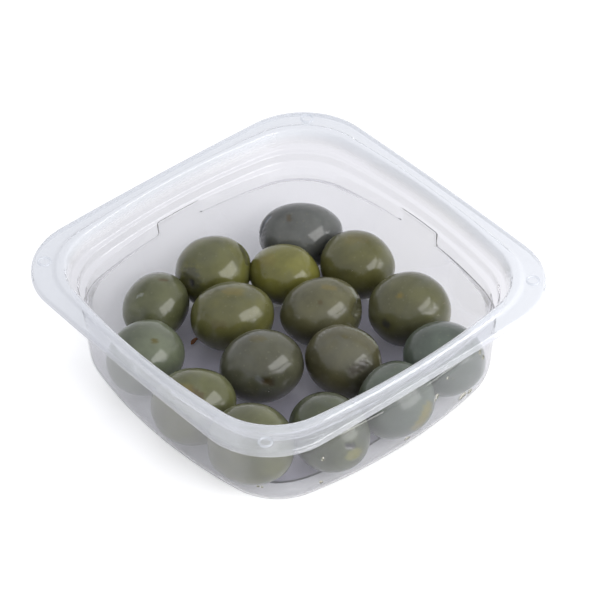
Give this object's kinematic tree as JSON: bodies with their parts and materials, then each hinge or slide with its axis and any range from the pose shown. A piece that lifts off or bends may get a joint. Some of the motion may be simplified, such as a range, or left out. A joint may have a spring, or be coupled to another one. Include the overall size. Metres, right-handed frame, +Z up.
{
  "type": "deli container",
  "caption": "Open square tub of clear formed plastic with rounded corners, a flat flange with a raised bead, a lid seat and a stacking ring, holding one layer of large green olives.",
  "frame": {"origin": "middle of the tub's base, on the surface it stands on", "axes": "+Z up out of the tub's mouth; X and Y square to the tub's four sides"},
  "size_m": [0.1282, 0.1282, 0.0428],
  "materials": {
    "tub": "clear formed sheet, smooth and glossy, slightly blue where it is seen edge on",
    "olives": "wet green olive skin with small pale and brown marks"
  },
  "bodies": {
    "root": {"tub": "tub", "olives": "olives"}
  },
  "joints": []
}
